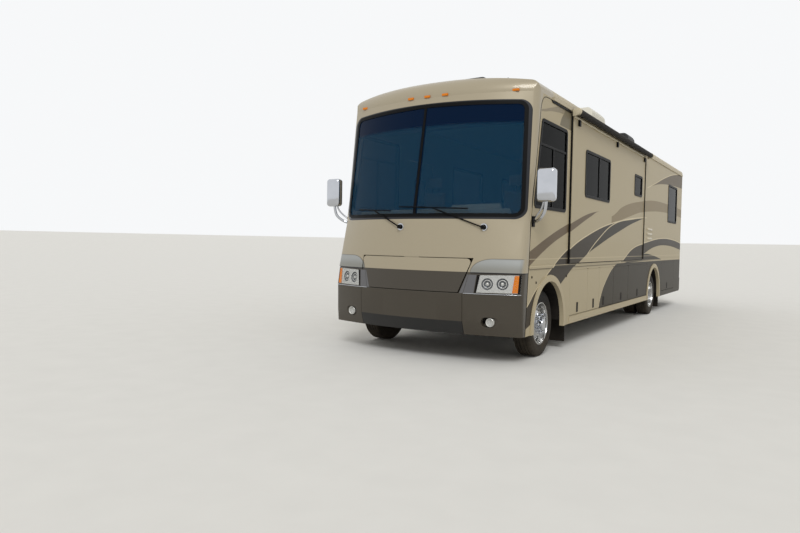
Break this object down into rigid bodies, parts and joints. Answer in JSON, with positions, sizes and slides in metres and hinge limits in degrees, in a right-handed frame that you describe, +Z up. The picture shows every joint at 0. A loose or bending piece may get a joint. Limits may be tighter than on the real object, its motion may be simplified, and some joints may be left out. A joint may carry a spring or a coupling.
{
  "type": "motorhome",
  "caption": "Class A motorhome with a wide curved windscreen, a slide-out room with a rolled topper, storage bay doors, a hood and dual rear wheels.",
  "frame": {"origin": "on the ground, under the middle of the overall length, on the centre line", "axes": "+X to the vehicle's left, +Y to its rear, +Z up"},
  "size_m": [3.184, 10.52, 3.67],
  "materials": {
    "body_panel": "gel-coated fibreglass, champagne metallic with painted stripes",
    "dark_panel": "gel-coated fibreglass, dark bronze metallic",
    "frame_steel": "black chassis paint",
    "engine_iron": "cast iron and aluminium, dirty",
    "pipe_steel": "aluminised steel",
    "deck_wood": "laminated floor",
    "bay_plastic": "black storage box",
    "roof_skin": "white roof skin",
    "black_frame": "black frame and rubber",
    "dark_glass": "tinted glass",
    "chrome": "chrome",
    "black_plastic": "black plastic",
    "lamp_glass": "clear lamp",
    "amber": "amber lens",
    "red": "red lens",
    "aluminium": "satin aluminium",
    "white_plastic": "white plastic",
    "awning_fabric": "dark roll of awning fabric on an aluminium tube",
    "flap_rubber": "black rubber",
    "cream_plastic": "cream dashboard",
    "seat_leather": "tan leather",
    "cabinet_wood": "cherry cabinets",
    "tyre": "black tyre",
    "rim": "polished wheel"
  },
  "bodies": {
    "root": {"chassis_frame": "frame_steel", "front_axle": "frame_steel", "rear_axle": "frame_steel", "engine_block": "engine_iron", "fuel_tank": "bay_plastic", "exhaust": "pipe_steel", "floor_deck": "deck_wood", "storage_bays": "bay_plastic", "entry_steps": "bay_plastic", "skirts": "body_panel", "left_wall": "body_panel", "right_wall": "body_panel", "roof": "roof_skin", "front_cap": "body_panel", "front_bumper": "dark_panel", "rear_cap": "body_panel", "windscreen": "dark_glass", "window_frames": "black_frame", "window_glass": "dark_glass", "mirrors": "chrome", "wipers": "black_plastic", "headlamps": "lamp_glass", "marker_lamps": "amber", "tail_lamps": "red", "rear_ladder": "aluminium", "roof_units": "white_plastic", "patio_awning": "awning_fabric", "mud_flaps": "flap_rubber", "dashboard": "cream_plastic", "cab_seats": "seat_leather", "steering_wheel": "cream_plastic", "cabinets": "cabinet_wood"},
    "front_wheel_left": {"front_tyre_left": "tyre", "front_rim_left": "rim"},
    "rear_wheels_left": {"rear_tyres_left": "tyre", "rear_rims_left": "rim"},
    "knuckle_left": {"knuckle_left": "frame_steel"},
    "front_wheel_right": {"front_tyre_right": "tyre", "front_rim_right": "rim"},
    "rear_wheels_right": {"rear_tyres_right": "tyre", "rear_rims_right": "rim"},
    "knuckle_right": {"knuckle_right": "frame_steel"},
    "slideout": {"slideout_shell": "body_panel", "slideout_frames": "black_frame", "slideout_glass": "dark_glass", "slideout_topper": "awning_fabric"},
    "entry_door": {"entry_door": "body_panel", "entry_door_glass": "dark_glass"},
    "hood": {"hood": "dark_panel"},
    "bay_door_left_1": {"bay_door_left_1": "body_panel"},
    "bay_door_left_2": {"bay_door_left_2": "body_panel"},
    "bay_door_left_3": {"bay_door_left_3": "body_panel"},
    "bay_door_left_4": {"bay_door_left_4": "body_panel"},
    "bay_door_left_5": {"bay_door_left_5": "body_panel"},
    "bay_door_left_6": {"bay_door_left_6": "body_panel"},
    "bay_door_right_1": {"bay_door_right_1": "body_panel"},
    "bay_door_right_2": {"bay_door_right_2": "body_panel"},
    "bay_door_right_3": {"bay_door_right_3": "body_panel"}
  },
  "joints": [
    {"name": "steer_left", "type": "hinge", "parent": "root", "child": "knuckle_left", "pos_m": [0.95, -4.14, 0.403], "axis": [0, 0, 1], "range_deg": [-35, 35]},
    {"name": "front_wheel_left_spin", "type": "hinge", "parent": "knuckle_left", "child": "front_wheel_left", "pos_m": [1.09, -4.14, 0.403], "axis": [1, 0, 0], "continuous": true},
    {"name": "rear_wheels_left_spin", "type": "hinge", "parent": "root", "child": "rear_wheels_left", "pos_m": [1.0015, 2.007, 0.403], "axis": [1, 0, 0], "continuous": true},
    {"name": "steer_right", "type": "hinge", "parent": "root", "child": "knuckle_right", "pos_m": [-0.95, -4.14, 0.403], "axis": [0, 0, 1], "range_deg": [-35, 35]},
    {"name": "front_wheel_right_spin", "type": "hinge", "parent": "knuckle_right", "child": "front_wheel_right", "pos_m": [-1.09, -4.14, 0.403], "axis": [1, 0, 0], "continuous": true},
    {"name": "rear_wheels_right_spin", "type": "hinge", "parent": "root", "child": "rear_wheels_right", "pos_m": [-1.0015, 2.007, 0.403], "axis": [1, 0, 0], "continuous": true},
    {"name": "slideout_slide", "type": "slide", "parent": "root", "child": "slideout", "axis": [1, 0, 0], "range_m": [0, 0.62]},
    {"name": "entry_door_hinge", "type": "hinge", "parent": "root", "child": "entry_door", "pos_m": [-1.29, -3.335, 1.5], "axis": [0, 0, 1], "range_deg": [0, 95]},
    {"name": "hood_hinge", "type": "hinge", "parent": "root", "child": "hood", "pos_m": [0, -5.2265, 1.194], "axis": [-1, 0, 0], "range_deg": [0, 60]},
    {"name": "bay_door_left_1_hinge", "type": "hinge", "parent": "root", "child": "bay_door_left_1", "pos_m": [1.29, -2.9675, 1.036], "axis": [0, -1, 0], "range_deg": [0, 85]},
    {"name": "bay_door_left_2_hinge", "type": "hinge", "parent": "root", "child": "bay_door_left_2", "pos_m": [1.29, -2.27, 1.036], "axis": [0, -1, 0], "range_deg": [0, 85]},
    {"name": "bay_door_left_3_hinge", "type": "hinge", "parent": "root", "child": "bay_door_left_3", "pos_m": [1.29, -1.56, 1.036], "axis": [0, -1, 0], "range_deg": [0, 85]},
    {"name": "bay_door_left_4_hinge", "type": "hinge", "parent": "root", "child": "bay_door_left_4", "pos_m": [1.29, -0.6575, 1.036], "axis": [0, -1, 0], "range_deg": [0, 85]},
    {"name": "bay_door_left_5_hinge", "type": "hinge", "parent": "root", "child": "bay_door_left_5", "pos_m": [1.29, 0.5975, 1.036], "axis": [0, -1, 0], "range_deg": [0, 85]},
    {"name": "bay_door_left_6_hinge", "type": "hinge", "parent": "root", "child": "bay_door_left_6", "pos_m": [1.29, 3.53, 1.036], "axis": [0, -1, 0], "range_deg": [0, 85]},
    {"name": "bay_door_right_1_hinge", "type": "hinge", "parent": "root", "child": "bay_door_right_1", "pos_m": [-1.29, -1.565, 1.036], "axis": [0, 1, 0], "range_deg": [0, 85]},
    {"name": "bay_door_right_2_hinge", "type": "hinge", "parent": "root", "child": "bay_door_right_2", "pos_m": [-1.29, 0.385, 1.036], "axis": [0, 1, 0], "range_deg": [0, 85]},
    {"name": "bay_door_right_3_hinge", "type": "hinge", "parent": "root", "child": "bay_door_right_3", "pos_m": [-1.29, 3.53, 1.036], "axis": [0, 1, 0], "range_deg": [0, 85]}
  ],
  "couplings": [
    {"joint": "steer_right", "follows": "steer_left", "ratio": 1}
  ]
}
